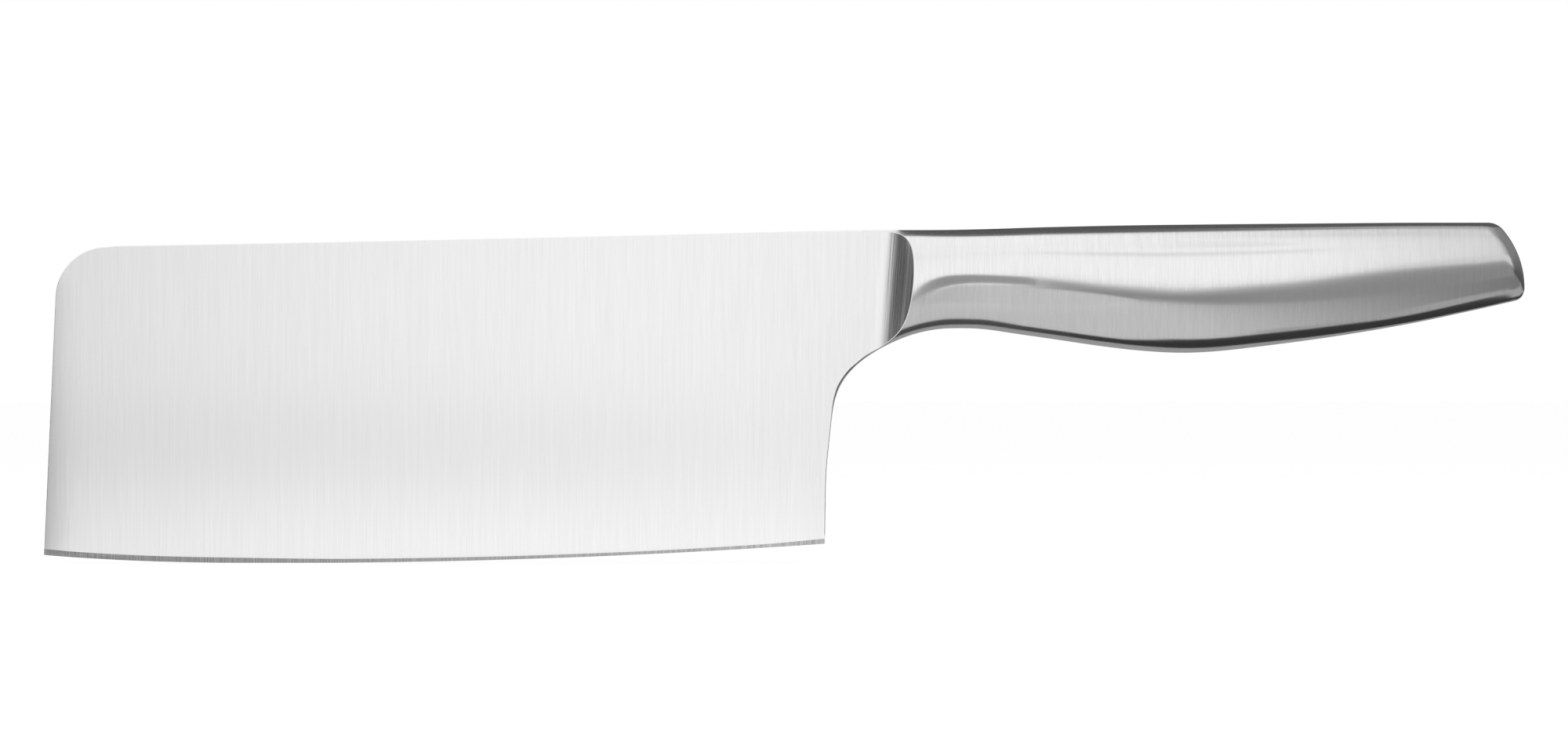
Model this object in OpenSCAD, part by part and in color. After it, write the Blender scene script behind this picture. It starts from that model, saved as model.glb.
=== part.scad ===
// All-steel cleaver. The blade stands edge down in the XZ plane with its tip towards -X and the
// grip towards +X. The origin is under the middle of its length, at the height of the lowest point
// of the edge. A broad sheet blade is butt welded to a forged bolster. Two pressed half shells are
// welded to the bolster and to each other round a cast core, which keys into the bolster's tang.

/* [Blade] */
// Length of the cutting edge, tip to heel
edge_l = 166; // [140:1:190]
// Height of the spine above the edge at the bolster
spine_h = 71.1; // [64:0.1:78]
// How much lower the spine is at the tip
spine_fall = 3.9; // [1:0.1:6]
// Bow of the spine line, hollow side up
spine_bow = 0.25; // [0.05:0.05:0.6]
// Distance from the tip to the lowest point of the edge
belly_low = 49; // [35:1:70]
// Rise of the edge at the tip
tip_rise = 1.7; // [0.8:0.1:3]
// Rise of the edge at the heel
heel_rise = 4.1; // [2:0.1:6]
// How far the tip line leans back up to the spine
tip_lean = 2.9; // [1:0.1:6]
// Radius of the rounded top corner of the tip
tip_corner_r = 11; // [6:0.5:14]
// Thickness at the spine
spine_t = 2.6; // [2:0.1:4]
// Thickness just above the sharpened edge
edge_t = 0.7; // [0.5:0.1:1.2]
// Height of the sharpened bevel on each side
bevel_h = 1; // [0.6:0.1:1.8]
// Flat left along the very edge
edge_land = 0.1; // [0.05:0.05:0.3]

/* [Choil and bolster] */
// Distance from the heel to the highest point of the underside, behind the bolster
neck_reach = 28; // [24:0.5:32]
// Height of the neck, from the spine down to that point
neck_depth = 21.2; // [19:0.1:25]
// Distance from the heel to the hindmost point of the bolster's rim
rim_reach = 18.6; // [17:0.1:21]
// Distance from the heel to the weld between blade and bolster
joint_reach = 7.4; // [6:0.1:9]
// Radius of the hollow ground into each side of the bolster
hollow_r = 8; // [7.6:0.1:9]
// Lean of the hollow, its top towards the grip, in degrees
hollow_lean = 4.4; // [0:0.2:7]
// Depth that the hollow bites into the blade's plane, so that the two surfaces cross
hollow_bite = 0.03; // [0.02:0.01:0.06]
// Width of the band behind the rim, up to the ring weld
collar_w = 2.2; // [1.5:0.1:4]
// Length of the spigot that centres the shells
spigot_l = 5; // [3:0.5:8]
// Clearance between the spigot and the shells
spigot_gap = 0.1; // [0.05:0.05:0.3]

/* [Tang] */
// Length of the tang behind the spigot
tang_l = 38; // [20:1:60]
// Height of the tang
tang_h = 12; // [8:0.5:14]
// Thickness of the tang
tang_t = 3; // [2:0.2:5]
// Diameter of the keying holes
key_d = 5; // [3:0.5:7]
// Distance between the keying holes
key_pitch = 18; // [10:1:22]

/* [Grip] */
// Length of the grip from the bolster's rim to the butt
grip_l = 130; // [115:1:145]
// Width at the bolster
rim_w = 13.2; // [11:0.2:14]
// Width at the belly
belly_w = 18.4; // [16:0.2:22]
// Width at the butt
butt_w = 15.2; // [13:0.2:18]
// Distance from the heel to the lowest point of the belly
belly_reach = 74.6; // [68:0.2:82]
// Dip of the grip's top line under the spine, just behind the bolster
grip_dip = 0.3; // [0.1:0.05:1.5]
// Rise of the grip's top line over the spine at its highest
grip_crest = 1.25; // [0.5:0.05:3]
// Height of the grip from the belly up to that top line
grip_h = 27.65; // [25:0.05:30]
// Depth of the butt's hindmost point under that top line
butt_drop = 14.2; // [12.3:0.05:14.8]
// Radius of the butt's back
butt_r = 20; // [17:0.5:24]
// Radius of the butt's top corner
butt_top_r = 4; // [2:0.5:6]
// Radius of the butt's bottom corner
butt_low_r = 2.5; // [1.5:0.1:3.4]
// Wall of the pressed shells
shell_wall = 1.2; // [0.8:0.1:1.6]
// Gap between the shells and the cast core
core_gap = 0.1; // [0.05:0.05:0.3]

/* [Welds] */
// Width of the weld between blade and bolster
blade_weld_w = 1; // [0.6:0.1:2]
// Width of the weld round the bolster
ring_weld_w = 1.2; // [0.8:0.1:2]
// Width of the seam weld between the shells
seam_weld_w = 0.8; // [0.4:0.1:1.4]

/* [Hidden] */

// Round things are drawn with this many sides
$fn = 64;
// Straight pieces in each stretch of a smooth curve
curve_steps = 5;
// Straight pieces in the edge, and in each rounded corner
edge_steps = 26;
corner_steps = 7;
// Columns of the grip's surface from the seam to the middle of a side, and ribs along it
columns = 8;
grip_ribs = 26;
// How far a cutter runs past what it cuts
overrun = 1;

// Heights above the edge
neck_h = spine_h - neck_depth;
neck_top_h = spine_h - grip_dip;
grip_top_h = spine_h + grip_crest;
belly_h = grip_top_h - grip_h;
butt_mid_h = grip_top_h - butt_drop;

// Places along the knife
tip_x = -(edge_l + rim_reach + grip_l) / 2;
heel_x = tip_x + edge_l;
low_x = tip_x + belly_low;
joint_x = heel_x + joint_reach;
neck_x = heel_x + neck_reach;
rim_x = heel_x + rim_reach;
belly_x = heel_x + belly_reach;
butt_x = rim_x + grip_l;
collar_x = rim_x + collar_w;
shell_x = collar_x + ring_weld_w;
spigot_x = collar_x + spigot_l;

// How fast the edge sweeps up towards the tip and towards the heel
tip_sweep_share = 2.4;
heel_sweep_share = 2;

// Choil from the heel's corner to the neck, as shares of the neck's reach and rise
choil_shares = [[0, 0], [0.004, 0.18], [0.012, 0.34], [0.04, 0.515], [0.066, 0.64],
                [0.105, 0.718], [0.17, 0.783], [0.266, 0.842], [0.4, 0.898], [0.545, 0.943],
                [0.69, 0.975], [0.85, 0.995], [1, 1]];
// Underside from the neck to the belly, as shares of the way and of the drop
drop_shares = [[0, 0], [0.12, 0.035], [0.285, 0.245], [0.46, 0.47], [0.64, 0.708],
               [0.82, 0.9], [1, 1]];
// Underside from the belly to the butt's corner, as shares of the way and of the rise
lift_shares = [[0, 0], [0.1, 0.018], [0.232, 0.108], [0.464, 0.31], [0.694, 0.565], [0.879, 0.82],
               [1, 1]];
// Top line from the bolster to the butt, as shares of the way and of the rise from the neck
top_shares = [[0.05, 0], [0.12, 0.12], [0.22, 0.38], [0.35, 0.62], [0.5, 0.77], [0.65, 0.88],
              [0.8, 0.985], [0.9, 1]];

// Point a share of the way from a to b
function mix(a, b, share) = a + (b - a) * share;

// Smooth curve through points, with the tangent at each set by its two neighbours
function tangent(p, i) =
    let (a = p[max(i - 1, 0)], b = p[min(i + 1, len(p) - 1)],
         way = norm(p[i] - a) + norm(b - p[i]))
    (b - a) / way;
function curve_point(p, i, t) =
    let (d = norm(p[i + 1] - p[i]), t2 = t * t, t3 = t2 * t)
    (2 * t3 - 3 * t2 + 1) * p[i] + (t3 - 2 * t2 + t) * d * tangent(p, i)
    + (3 * t2 - 2 * t3) * p[i + 1] + (t3 - t2) * d * tangent(p, i + 1);
function curve(p) =
    concat([for (i = [0:len(p) - 2], k = [0:curve_steps - 1]) curve_point(p, i, k / curve_steps)],
           [p[len(p) - 1]]);

// Points along an arc, from one angle to another
function arc(centre, r, from, to) =
    [for (k = [0:corner_steps])
        let (a = mix(from, to, k / corner_steps)) centre + r * [cos(a), sin(a)]];

// Cutting edge, tip to heel
function edge_z(x) =
    x < low_x ? tip_rise * pow((low_x - x) / belly_low, tip_sweep_share)
              : heel_rise * pow((x - low_x) / (edge_l - belly_low), heel_sweep_share);
tip_edge_steps = round(edge_steps * belly_low / edge_l);
heel_edge_steps = edge_steps - tip_edge_steps;
edge_xs = concat([for (k = [0:tip_edge_steps]) mix(tip_x, low_x, k / tip_edge_steps)],
                 [for (k = [1:heel_edge_steps]) mix(low_x, heel_x, k / heel_edge_steps)]);

// Back of the butt: a small top corner, the broad back and a small bottom corner, which stops where
// the underside meets it. The pole is the place that the ribs round the butt fan out from.
butt_turn = asin((grip_top_h - butt_top_r - butt_mid_h) / (butt_r - butt_top_r));
butt_centre = [butt_x - butt_r, butt_mid_h];
butt_top_centre = butt_centre + (butt_r - butt_top_r) * [cos(butt_turn), sin(butt_turn)];
butt_low_centre = [butt_x - butt_low_r, butt_mid_h];
butt_low_turn = -76;
butt_low_end = butt_low_centre + butt_low_r * [cos(butt_low_turn), sin(butt_low_turn)];
pole_x = butt_top_centre[0] - butt_top_r;

// Underside of the knife from the heel's corner to the butt, and its height at x
low_line = curve(concat(
    [for (s = choil_shares)
        [heel_x + neck_reach * s[0], mix(heel_rise, neck_h, s[1])]],
    [for (i = [1:len(drop_shares) - 1]) let (s = drop_shares[i])
        [mix(neck_x, belly_x, s[0]), mix(neck_h, belly_h, s[1])]],
    [for (i = [1:len(lift_shares) - 1]) let (s = lift_shares[i])
        [mix(belly_x, butt_low_end[0], s[0]), mix(belly_h, butt_low_end[1], s[1])]]));
function low_z(x) = lookup(x, low_line);

// Places along the spine of the points that its line goes through
spine_shares = [0, 0.25, 0.5, 0.75, 0.92];

// Top line of the knife from behind the tip's corner to the butt, and its height at x
spine_reach = rim_x - tip_x - tip_lean;
function spine_z(share) = mix(spine_h - spine_fall, spine_h, share) - 4 * spine_bow * share * (1 - share);
top_line = curve(concat(
    [for (share = spine_shares)
        [tip_x + tip_lean + spine_reach * share, spine_z(share)]],
    [for (s = top_shares)
        [rim_x + grip_l * s[0], mix(neck_top_h, grip_top_h, s[1])]]));
function top_z(x) = lookup(x, top_line);

// Share that eases from 0 at one place to 1 at another
function ease(from, to, x) =
    let (share = min(max((x - from) / (to - from), 0), 1)) share * share * (3 - 2 * share);
// Value at x that eases from the rim's to the belly's, and on to the butt's
function along_grip(rim, belly, butt, x) =
    x < belly_x ? mix(rim, belly, ease(rim_x, belly_x, x))
                : mix(belly, butt, ease(belly_x, pole_x, x));

// Half width of the grip
function half_w(x) = along_grip(rim_w, belly_w, butt_w, x) / 2;

// Squareness of the section, which is 2 for an ellipse. It is lean at the neck, and has filled out
// a share of the way to the belly, its lower half more than its upper one.
top_square_share = 2.3;
neck_square_share = 1.9;
belly_square_share = 2.5;
lean_share = 0.5;
function filled(x) = ease(rim_x, mix(rim_x, belly_x, lean_share), x);
function top_square(x) = mix(neck_square_share, top_square_share, filled(x));
function low_square(x) =
    x < belly_x ? mix(neck_square_share, belly_square_share, filled(x))
                : mix(belly_square_share, top_square_share, ease(belly_x, pole_x, x));

// Half thickness of the blade's wedge at a height
function wedge_y(z) = mix(edge_t, spine_t, z / spine_h) / 2;
wedge_angle = atan((spine_t - edge_t) / 2 / spine_h);

// The butt's form: the grip's section runs on to the end, where its side rounds in. The rounding
// reaches as far in from the back as the top corner's arc does. It is squarer than an ellipse.
butt_square_share = 3;
butt_arcs = concat(
    arc(butt_top_centre, butt_top_r, 90, butt_turn),
    [for (k = [1:corner_steps]) arc(butt_centre, butt_r, butt_turn, 0)[k]],
    [for (k = [1:corner_steps]) arc(butt_low_centre, butt_low_r, 0, butt_low_turn)[k]]);
butt_back = [for (p = butt_arcs) [p[1], p[0]]];

// Share of the half width that the form has at an out share of a rib's reach
function butt_share(r, out) =
    let (p = r[1] + (r[0] - r[1]) * out,
         half_h = (top_z(p[0]) - low_z(p[0])) / 2,
         off_mid = min(abs(p[1] - mid_z(p[0])) / half_h, 1),
         from_back = (lookup(p[1], butt_back) - p[0]) / butt_top_r,
         near = 1 - min(max(from_back, 0), 1))
    pow(1 - pow(off_mid, top_square_share), 1 / top_square_share)
    * pow(1 - pow(near, butt_square_share), 1 / butt_square_share);

// Out share of a butt's rib where the form has a share of the half width, by halving
halvings = 24;
function butt_place(r, share, low = 0, high = 1, left = halvings) =
    let (half = (low + high) / 2)
    left == 0 ? half
    : butt_share(r, half) > share ? butt_place(r, share, half, high, left - 1)
                                  : butt_place(r, share, low, half, left - 1);

// Points of a butt's rib are spaced as on a section of this squareness: close to the end where it
// runs straight back, and as the grip's upper half where it runs up or down
back_spacing_share = 7;
back_turn_share = 4;
function butt_spacing(way) =
    mix(top_square_share, back_spacing_share, pow(way[0] / norm(way), back_turn_share));

// The grip is made of ribs that reach from a middle line out to the outline. A rib holds the
// outline's point, the middle line's point, the half width there, the squareness, and whether it
// is one of the butt's: those take their height from the butt's form.
function mid_z(x) = (top_z(x) + low_z(x)) / 2;
function top_rib(x) = [[x, top_z(x)], [x, mid_z(x)], half_w(x), top_square(x), false];
function low_rib(x) = [[x, low_z(x)], [x, mid_z(x)], half_w(x), low_square(x), false];
function butt_rib(p) =
    let (middle = [pole_x, mid_z(pole_x)])
    [p, middle, half_w(pole_x), butt_spacing(p - middle), true];

// Point of a rib at a column, an inset under the outer surface. Column 0 is at the seam weld's
// side, the last one on the middle line.
function rib_point(r, column, inset, side = 1) =
    let (n = r[3], w = r[2] - inset, way = r[0] - r[1], reach = norm(way) - inset,
         turn = 90 * column / columns, seam_y = seam_weld_w / 2,
         out = column > 0 ? pow(cos(turn), 2 / n)
             : r[4] ? butt_place(r, seam_y / w) : pow(1 - pow(seam_y / w, n), 1 / n),
         y = column == 0 ? seam_y : w * (r[4] ? butt_share(r, out) : pow(sin(turn), 2 / n)),
         p = r[1] + way / norm(way) * reach * out)
    [p[0], side * y, p[1]];

// Closed section across the grip at x: down the right side and up the left
function section(x, inset) =
    let (up = top_rib(x), down = low_rib(x))
    concat([for (j = [0:columns]) rib_point(up, j, inset)],
           [for (j = [columns - 1:-1:0]) rib_point(down, j, inset)],
           [for (j = [0:columns]) rib_point(down, j, inset, -1)],
           [for (j = [columns - 1:-1:0]) rib_point(up, j, inset, -1)]);

// Two triangles of a cell, without those that a shared point makes flat
function cell(a, b, c, d) =
    [for (f = [[a, c, b], [a, d, c]]) if (f[0] != f[1] && f[1] != f[2] && f[2] != f[0]) f];

// Solid skin over sections that have as many points each, closed at its ends or into a ring
module loft(sections, ring = false) {
    n = len(sections[0]);
    last = len(sections) - 1;
    spans = ring ? last : last - 1;
    polyhedron(
        points = [for (s = sections, p = s) p],
        faces = concat(
            [for (i = [0:spans], k = [0:n - 1])
                let (a = i * n, b = (i + 1) % (last + 1) * n, m = (k + 1) % n)
                each cell(a + k, b + k, b + m, a + m)],
            ring ? [] : [[for (k = [n - 1:-1:0]) k], [for (k = [0:n - 1]) last * n + k]]));
}

// Places of the ribs: the shells have one more than the core, at their front end. Where the spigot
// ends both have one, so that it follows the shells' inner walls.
core_xs = [for (k = [0:grip_ribs - 1]) mix(spigot_x, pole_x, k / (grip_ribs - 1))];
shell_xs = concat([shell_x], core_xs);
butt_points = concat(
    butt_arcs,
    [for (k = [1:corner_steps - 1])
        let (x = mix(butt_low_end[0], pole_x, k / corner_steps)) [x, low_z(x)]]);

// Ribs from the front of the top line, round the butt and back along the underside
function grip_rib_list(xs) =
    concat([for (x = xs) top_rib(x)],
           [for (p = butt_points) butt_rib(p)],
           [for (k = [len(xs) - 1:-1:0]) low_rib(xs[k])]);

// Which middle point rib i ends on: the ribs round the butt all share the last one
function middle(i, last, xs) =
    let (pole = len(xs) - 1) i <= pole ? i : i >= last - pole ? last - i : pole;

// Cutters and blanks

// Outline in the XZ plane made a plate of a thickness, centred on the blade's plane
module plate(points, t) {
    rotate([90, 0, 0]) linear_extrude(t, center = true) polygon(points);
}

// Blade stock, thick at the spine and thin at the edge
module wedge() {
    top = max(spine_h, grip_top_h) + overrun;
    rotate([90, 0, 90]) linear_extrude(edge_l * 3, center = true)
        polygon([[-wedge_y(-overrun), -overrun], [wedge_y(-overrun), -overrun],
                 [wedge_y(top), top], [-wedge_y(top), top]]);
}

// What the wheel takes off one side of the bolster: all that is in front of the hollow's deepest
// line, outside the blade's plane, and the round hollow behind it
module hollow_cutter() {
    mid = mid_z(rim_x);
    depth = rim_w / 2 - wedge_y(mid) + hollow_bite;
    start_x = rim_x - sqrt(pow(hollow_r, 2) - pow(hollow_r - depth, 2));
    reach = spine_h;
    translate([start_x, wedge_y(mid), mid])
    rotate([-wedge_angle, 0, 0]) rotate([0, hollow_lean, 0]) union() {
        translate([0, hollow_r - hollow_bite, 0]) cylinder(h = reach, r = hollow_r, center = true);
        translate([-reach, 0, -reach / 2]) cube([reach, reach, reach]);
    }
}

// Flat tang behind the spigot, with the holes that key the core
module tang() {
    z = mid_z(spigot_x) - tang_h / 2;
    difference() {
        translate([spigot_x - overrun, -tang_t / 2, z]) cube([tang_l + overrun, tang_t, tang_h]);
        for (k = [0, 1])
            translate([spigot_x + tang_l - tang_h / 2 - k * key_pitch, 0, z + tang_h / 2])
                rotate([90, 0, 0]) cylinder(h = tang_t + overrun, d = key_d, center = true);
    }
}

// Sub-parts

// Outline of the blade up to the weld
module blade_plate(end_x) {
    lean = atan(tip_lean / (spine_h - spine_fall));
    corner = [tip_x + tip_lean, top_z(tip_x + tip_lean)];
    centre = corner + tip_corner_r * [1 / cos(lean) - tan(lean), -1];
    plate(concat(
        [for (x = edge_xs) [x, edge_z(x)]],
        [for (p = low_line) if (p[0] < end_x && p[1] > heel_rise) p],
        [[end_x, low_z(end_x)], [end_x, top_z(end_x)]],
        [for (k = [len(top_line) - 1:-1:0])
            if (top_line[k][0] < end_x && top_line[k][0] > centre[0]) top_line[k]],
        arc(centre, tip_corner_r, 90, 180 - lean)), spine_t * 2);
}

// The bevel's cutter follows the edge. Its section is a triangle outside the bevel's plane.
module bevel_cutter() {
    function bevel_section(x) =
        let (foot = [edge_land / 2, edge_z(x)],
             way = [wedge_y(edge_z(x) + bevel_h), edge_z(x) + bevel_h] - foot,
             low = foot - way, high = foot + 2 * way)
        [[x, low[0], low[1]], [x, high[0], high[1]], [x, high[0], low[1]]];
    xs = concat([tip_x - overrun], edge_xs, [heel_x + overrun]);
    loft([for (x = xs) bevel_section(x)]);
}

module blade() {
    color("#dcdcda") difference() {
        intersection() {
            blade_plate(joint_x - blade_weld_w / 2);
            wedge();
        }
        bevel_cutter();
        mirror([0, 1, 0]) bevel_cutter();
    }
}

module blade_weld() {
    a = joint_x - blade_weld_w / 2;
    b = joint_x + blade_weld_w / 2;
    color("#c4c4c2") intersection() {
        plate([[a, low_z(a)], [b, low_z(b)], [b, top_z(b)], [a, top_z(a)]], spine_t * 2);
        wedge();
    }
}

module bolster() {
    from = joint_x + blade_weld_w / 2;
    form_steps = 12;
    color("#8f8f8d") union() {
        difference() {
            loft([for (k = [0:form_steps]) section(mix(from, collar_x, k / form_steps), 0)]);
            hollow_cutter();
            mirror([0, 1, 0]) hollow_cutter();
        }
        loft([for (x = [collar_x - overrun, collar_x, shell_x, spigot_x])
            section(x, shell_wall + spigot_gap)]);
        tang();
    }
}

// One pressed shell, on the right of the seam
module handle_shell() {
    ribs = grip_rib_list(shell_xs);
    last = len(ribs) - 1;
    block = (last + 1) * columns + len(shell_xs);
    // Number of a point on the outer skin (layer 0) or the inner one (layer 1)
    function at(i, j, layer) =
        layer * block
        + (j < columns ? i * columns + j : (last + 1) * columns + middle(i, last, shell_xs));
    polyhedron(
        points = [for (inset = [0, shell_wall]) each concat(
            [for (r = ribs, j = [0:columns - 1]) rib_point(r, j, inset)],
            [for (i = [0:len(shell_xs) - 1]) rib_point(ribs[i], columns, inset)])],
        faces = concat(
            [for (i = [0:last - 1], j = [0:columns - 1]) each
                cell(at(i, j, 0), at(i + 1, j, 0), at(i + 1, j + 1, 0), at(i, j + 1, 0))],
            [for (i = [0:last - 1], j = [0:columns - 1]) each
                cell(at(i, j + 1, 1), at(i + 1, j + 1, 1), at(i + 1, j, 1), at(i, j, 1))],
            [for (i = [0:last - 1]) each
                cell(at(i, 0, 1), at(i + 1, 0, 1), at(i + 1, 0, 0), at(i, 0, 0))],
            [for (j = [0:columns - 1]) each
                cell(at(0, j, 1), at(0, j, 0), at(0, j + 1, 0), at(0, j + 1, 1))],
            [for (j = [0:columns - 1]) each
                cell(at(last, j + 1, 1), at(last, j + 1, 0), at(last, j, 0), at(last, j, 1))]));
}

module right_handle_shell() {
    color("#c9c9c7") handle_shell();
}

module left_handle_shell() {
    color("#c9c9c7") mirror([0, 1, 0]) handle_shell();
}

// Core cast into the shells: the tang's holes fill with it
module handle_core() {
    inset = shell_wall + core_gap;
    ribs = grip_rib_list(core_xs);
    last = len(ribs) - 1;
    wide = 2 * columns;
    middles = (last + 1) * wide;
    // Columns run from the left middle line over the seam to the right one
    function at(i, j) =
        j == 0 ? middles + middle(i, last, core_xs)
        : j == wide + 1 ? middles + len(core_xs) + middle(i, last, core_xs)
        : i * wide + j - 1;
    color("#6b6a66") difference() {
        polyhedron(
            points = concat(
                [for (r = ribs, j = [1:wide])
                    j > columns ? rib_point(r, j - columns - 1, inset)
                                : rib_point(r, columns - j, inset, -1)],
                [for (side = [-1, 1], i = [0:len(core_xs) - 1])
                    rib_point(ribs[i], columns, inset, side)]),
            faces = concat(
                [for (i = [0:last - 1], j = [0:wide]) each
                    cell(at(i, j), at(i + 1, j), at(i + 1, j + 1), at(i, j + 1))],
                [concat([for (j = [wide + 1:-1:0]) at(0, j)], [for (j = [1:wide]) at(last, j)])]));
        tang();
    }
}

// Weld round the bolster's collar, as deep as the shells' wall
module ring_weld() {
    outer = [for (x = [collar_x, shell_x]) section(x, 0)];
    inner = [for (x = [collar_x, shell_x]) section(x, shell_wall + spigot_gap)];
    color("#b5b5b3")
        loft([for (k = [0:len(outer[0]) - 1]) [outer[0][k], outer[1][k], inner[1][k], inner[0][k]]],
             ring = true);
}

// Weld between the two shells, over the top, round the butt and back along the underside
module seam_weld() {
    color("#b5b5b3")
        loft([for (r = grip_rib_list(shell_xs))
            [rib_point(r, 0, 0), rib_point(r, 0, 0, -1), rib_point(r, 0, shell_wall, -1),
             rib_point(r, 0, shell_wall)]]);
}

blade();
bolster();
left_handle_shell();
right_handle_shell();
handle_core();
blade_weld();
ring_weld();
seam_weld();
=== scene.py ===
import math

import bpy
import numpy as np
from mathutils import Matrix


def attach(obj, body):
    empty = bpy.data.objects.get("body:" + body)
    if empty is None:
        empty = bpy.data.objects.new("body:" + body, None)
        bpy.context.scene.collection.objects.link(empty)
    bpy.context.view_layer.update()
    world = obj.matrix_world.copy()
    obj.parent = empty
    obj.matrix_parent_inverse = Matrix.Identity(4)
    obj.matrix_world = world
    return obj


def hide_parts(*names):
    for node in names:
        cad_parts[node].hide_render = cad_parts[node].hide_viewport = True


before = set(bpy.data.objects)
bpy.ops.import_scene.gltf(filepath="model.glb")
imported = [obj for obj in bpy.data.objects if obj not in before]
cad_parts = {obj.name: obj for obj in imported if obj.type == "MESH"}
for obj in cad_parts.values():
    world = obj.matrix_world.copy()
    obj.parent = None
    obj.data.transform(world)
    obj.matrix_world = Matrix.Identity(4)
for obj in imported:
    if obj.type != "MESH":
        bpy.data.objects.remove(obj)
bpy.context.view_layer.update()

# One millimetre in metres. All the shapes below are worked out in millimetres.
MM = 0.001

# Sizes, as in the part's source

edge_l, spine_h, spine_fall, spine_bow = 166, 71.1, 3.9, 0.25
belly_low, tip_rise, heel_rise, tip_lean, tip_corner_r = 49, 1.7, 4.1, 2.9, 11
spine_t, edge_t, edge_land = 2.6, 0.7, 0.1
neck_reach, neck_depth, rim_reach, joint_reach = 28, 21.2, 18.6, 7.4
hollow_r, hollow_lean = 8, math.radians(4.4)
collar_w, spigot_l, spigot_gap = 2.2, 5, 0.1
tang_l, tang_h, tang_t, key_d, key_pitch = 38, 12, 3, 5, 18
grip_l, rim_w, belly_w, butt_w = 130, 13.2, 18.4, 15.2
belly_reach, grip_dip, grip_h = 74.6, 0.3, 27.65
# 1.25 in the part: a hair lower here, where the curve is finer than the part's, to stay inside it
grip_crest = 1.245
butt_drop, butt_r, butt_top_r, butt_low_r = 14.2, 20, 4, 2.5
shell_wall, blade_weld_w, ring_weld_w, seam_weld_w = 1.2, 1, 1.2, 0.8

neck_h = spine_h - neck_depth
neck_top_h = spine_h - grip_dip
grip_top_h = spine_h + grip_crest
belly_h = grip_top_h - grip_h
butt_mid_h = grip_top_h - butt_drop

tip_x = -(edge_l + rim_reach + grip_l) / 2
heel_x = tip_x + edge_l
low_x = tip_x + belly_low
joint_x = heel_x + joint_reach
weld_front, weld_back = joint_x - blade_weld_w / 2, joint_x + blade_weld_w / 2
neck_x = heel_x + neck_reach
rim_x = heel_x + rim_reach
belly_x = heel_x + belly_reach
butt_x = rim_x + grip_l
collar_x = rim_x + collar_w
shell_x = collar_x + ring_weld_w
spigot_x = collar_x + spigot_l

# How sharply the edge turns up to its ends, and how square the grip's sections are
tip_sweep, heel_sweep = 2.4, 2
full_square, neck_square, belly_square, lean_share = 2.3, 1.9, 2.5, 0.5
butt_square, back_spacing, back_turn = 3, 7, 4

# The outline's curves, as shares of their reach and rise
choil_shares = [(0, 0), (0.004, 0.18), (0.012, 0.34), (0.04, 0.515), (0.066, 0.64), (0.105, 0.718),
                (0.17, 0.783), (0.266, 0.842), (0.4, 0.898), (0.545, 0.943), (0.69, 0.975),
                (0.85, 0.995), (1, 1)]
drop_shares = [(0.12, 0.035), (0.285, 0.245), (0.46, 0.47), (0.64, 0.708), (0.82, 0.9), (1, 1)]
lift_shares = [(0.1, 0.018), (0.232, 0.108), (0.464, 0.31), (0.694, 0.565), (0.879, 0.82), (1, 1)]
spine_shares = [0, 0.25, 0.5, 0.75, 0.92]
top_shares = [(0.05, 0), (0.12, 0.12), (0.22, 0.38), (0.35, 0.62), (0.5, 0.77), (0.65, 0.88),
              (0.8, 0.985), (0.9, 1)]

# Lines of the knife


# Anything smaller is nothing
hair = 1e-9


def mix(a, b, share):
    return a + (b - a) * share


def ease(start, end, x):
    """Share that eases from 0 at start to 1 at end."""
    share = np.clip((np.asarray(x, float) - start) / (end - start), 0, 1)
    return share * share * (3 - 2 * share)


def smooth_line(points, steps=24):
    """Smooth curve through points, with the tangent at each set by its two neighbours."""
    p = np.array(points, float)
    way = np.linalg.norm(np.diff(p, axis=0), axis=1)
    last = len(p) - 1
    tangent = []
    for i in range(last + 1):
        a, b = max(i - 1, 0), min(i + 1, last)
        tangent.append((p[b] - p[a]) / way[a:b].sum())
    t = np.linspace(0, 1, steps, endpoint=False)[:, None]
    stretches = [
        (2 * t**3 - 3 * t**2 + 1) * p[i] + (t**3 - 2 * t**2 + t) * way[i] * tangent[i]
        + (3 * t**2 - 2 * t**3) * p[i + 1] + (t**3 - t**2) * way[i] * tangent[i + 1]
        for i in range(last)]
    return np.vstack(stretches + [p[-1:]])


def arc(centre, r, start, end, steps):
    """Points along an arc in the XZ plane, from one angle to another, in degrees."""
    turn = np.radians(np.linspace(start, end, steps + 1))
    return np.column_stack([centre[0] + r * np.cos(turn), centre[1] + r * np.sin(turn)])


def edge_z(x):
    to_tip = tip_rise * (np.maximum(low_x - x, 0) / belly_low) ** tip_sweep
    to_heel = heel_rise * (np.maximum(x - low_x, 0) / (edge_l - belly_low)) ** heel_sweep
    return to_tip + to_heel


# The butt's back: a small top corner, the broad back and a small bottom corner
butt_turn = math.degrees(math.asin((grip_top_h - butt_top_r - butt_mid_h) / (butt_r - butt_top_r)))
butt_low_turn, corner_steps, back_steps, top_run_count, low_run_count = -76, 14, 22, 5, 9
butt_centre = (butt_x - butt_r, butt_mid_h)
butt_top_centre = arc(butt_centre, butt_r - butt_top_r, butt_turn, butt_turn, 0)[0]
butt_low_centre = (butt_x - butt_low_r, butt_mid_h)
butt_low_end = arc(butt_low_centre, butt_low_r, butt_low_turn, butt_low_turn, 0)[0]
pole_x = butt_top_centre[0] - butt_top_r

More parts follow.
